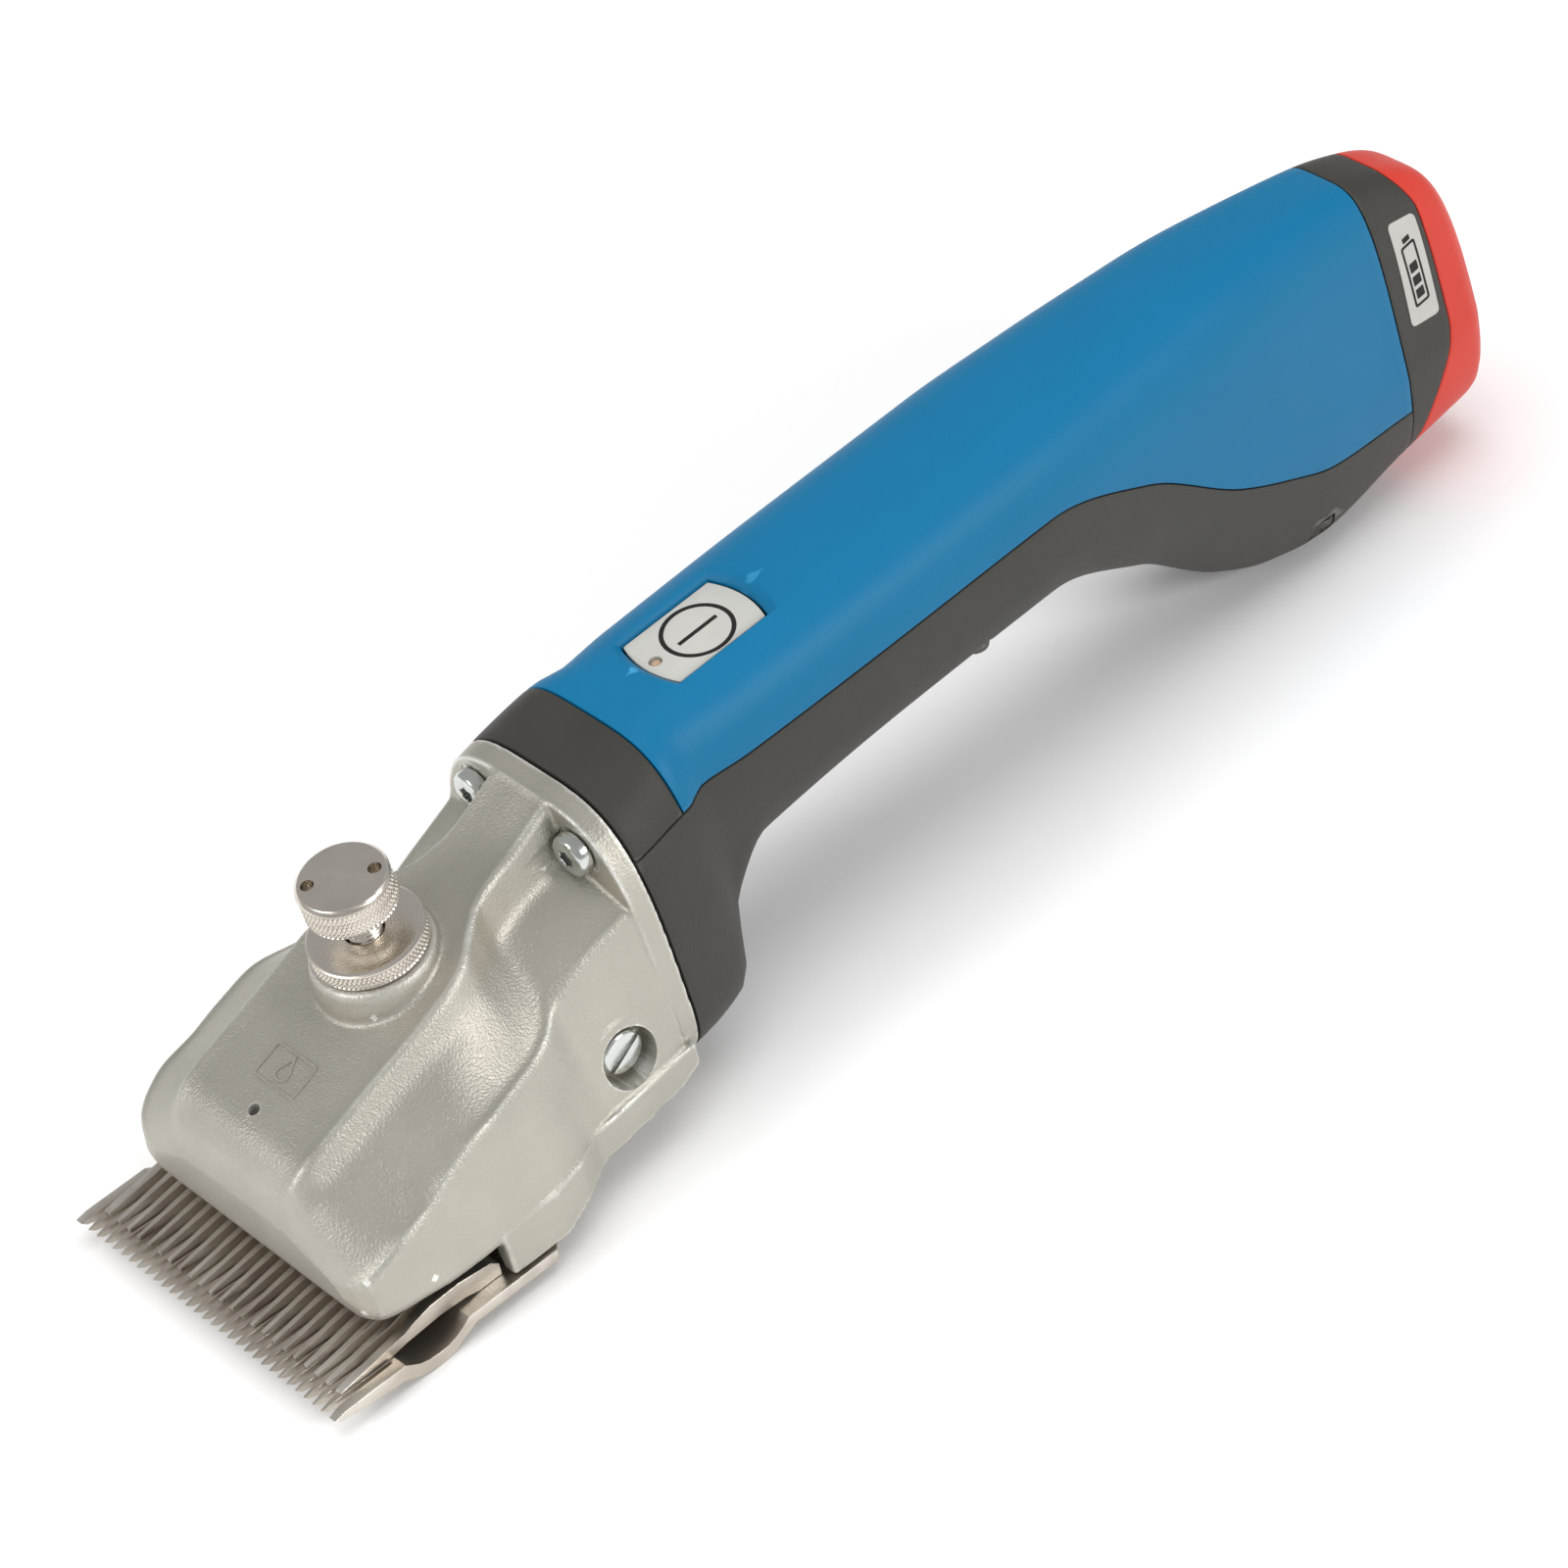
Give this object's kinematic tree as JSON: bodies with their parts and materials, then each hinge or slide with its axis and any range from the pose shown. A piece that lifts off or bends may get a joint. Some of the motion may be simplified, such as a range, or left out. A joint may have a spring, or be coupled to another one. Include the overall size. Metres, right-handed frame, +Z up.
{
  "type": "sheep shears",
  "caption": "Cordless livestock clipper: toothed comb and cutter on a cast gear head with tension knob, contoured two-shell grip, pull-out battery pack.",
  "frame": {"origin": "middle of the bounding box footprint, on the plane the tool lies on", "axes": "+X from the comb towards the battery, +Y to the tool's left, +Z up; the tool lies on its comb and on the flat of its rear belly"},
  "size_m": [0.3351, 0.077, 0.0808],
  "materials": {
    "ground_steel": "ground, fine grain",
    "cast_alloy": "die-cast, blasted satin",
    "zinc_plated": "bright zinc plating",
    "turned_steel": "turned, knurled edges",
    "dark_steel": "oiled dark steel",
    "brass": "machined",
    "black_plastic": "fine moulded grain",
    "blue_plastic": "satin moulded",
    "red_plastic": "satin moulded",
    "pale_plastic": "satin",
    "led_lens": "clear lens",
    "board": "laminate",
    "cell_wrap": "shrink film over a steel can"
  },
  "bodies": {
    "housing": {"comb": "ground_steel", "head_casting": "cast_alloy", "pivot_block": "cast_alloy", "gear_plate": "cast_alloy", "motor_plate": "cast_alloy", "head_screw_upper_left": "zinc_plated", "head_screw_upper_right": "zinc_plated", "head_screw_lower_left": "zinc_plated", "head_screw_lower_right": "zinc_plated", "comb_screw_left": "zinc_plated", "comb_screw_right": "zinc_plated", "side_screw_left": "zinc_plated", "side_screw_right": "zinc_plated", "grip_screw_left": "zinc_plated", "grip_screw_right": "zinc_plated", "rear_screw_left": "zinc_plated", "rear_screw_right": "zinc_plated", "pivot_post": "turned_steel", "front_bearing": "turned_steel", "rear_bearing": "turned_steel", "pressure_pin": "dark_steel", "pressure_spring": "dark_steel", "motor_can": "dark_steel", "collar": "black_plastic", "lower_shell": "black_plastic", "terminal_block": "black_plastic", "motor_end_cap": "black_plastic", "switch_key": "black_plastic", "upper_shell": "blue_plastic", "status_led": "led_lens", "circuit_board": "board"},
    "cutter": {"cutter": "ground_steel"},
    "swing lever": {"swing_lever": "dark_steel"},
    "spring cap": {"spring_cap": "turned_steel"},
    "tension knob": {"tension_knob": "turned_steel"},
    "lock ring": {"lock_ring": "turned_steel"},
    "rotor": {"motor_rotor": "turned_steel"},
    "crank": {"drive_gear": "brass", "crank_shaft": "dark_steel", "crank_roller": "turned_steel"},
    "switch pad": {"switch_pad": "pale_plastic"},
    "battery": {"battery_case": "black_plastic", "battery_cap": "red_plastic", "battery_label": "pale_plastic", "battery_cell_1": "cell_wrap", "battery_cell_2": "cell_wrap", "battery_cell_3": "cell_wrap"}
  },
  "joints": [
    {"name": "lever_swing", "type": "hinge", "parent": "housing", "child": "swing lever", "pos_m": [-0.08824, 0, 0.02337], "axis": [-0.0462, 0, 0.9989], "range_deg": [-4.05, 4.05]},
    {"name": "cutter_stroke", "type": "slide", "parent": "housing", "child": "cutter", "axis": [0, 1, 0], "range_m": [-0.0033, 0.0033]},
    {"name": "knob_turn", "type": "hinge", "parent": "spring cap", "child": "tension knob", "pos_m": [-0.11365, 0, 0.06203], "axis": [-0.121, 0, 0.9927], "range_deg": [-360, 720]},
    {"name": "tension_feed", "type": "slide", "parent": "housing", "child": "spring cap", "axis": [-0.121, 0, 0.9927], "range_m": [-0.001, 0.002], "deforming": ["pressure_spring"]},
    {"name": "ring_turn", "type": "hinge", "parent": "housing", "child": "lock ring", "pos_m": [-0.11365, 0, 0.06203], "axis": [-0.121, 0, 0.9927], "range_deg": [0, 90]},
    {"name": "crank_turn", "type": "hinge", "parent": "housing", "child": "crank", "pos_m": [-0.05762, 0, 0.03229], "axis": [0.9989, 0, 0.0462], "continuous": true},
    {"name": "rotor_turn", "type": "hinge", "parent": "housing", "child": "rotor", "pos_m": [-0.05854, 0, 0.05227], "axis": [0.9989, 0, 0.0462], "continuous": true},
    {"name": "switch_press", "type": "slide", "parent": "housing", "child": "switch pad", "axis": [0.0462, 0, -0.9989], "range_m": [0, 0.0006], "stiffness_N_per_m": 1500},
    {"name": "battery_pull", "type": "slide", "parent": "housing", "child": "battery", "axis": [0.9989, 0, 0.0462], "range_m": [0, 0.062]}
  ],
  "couplings": [
    {"joint": "lever_swing", "follows": "cutter_stroke", "rad_per_m": -21.413},
    {"joint": "knob_turn", "follows": "tension_feed", "rad_per_m": 6283.2},
    {"joint": "crank_turn", "follows": "rotor_turn", "ratio": -0.33333}
  ]
}
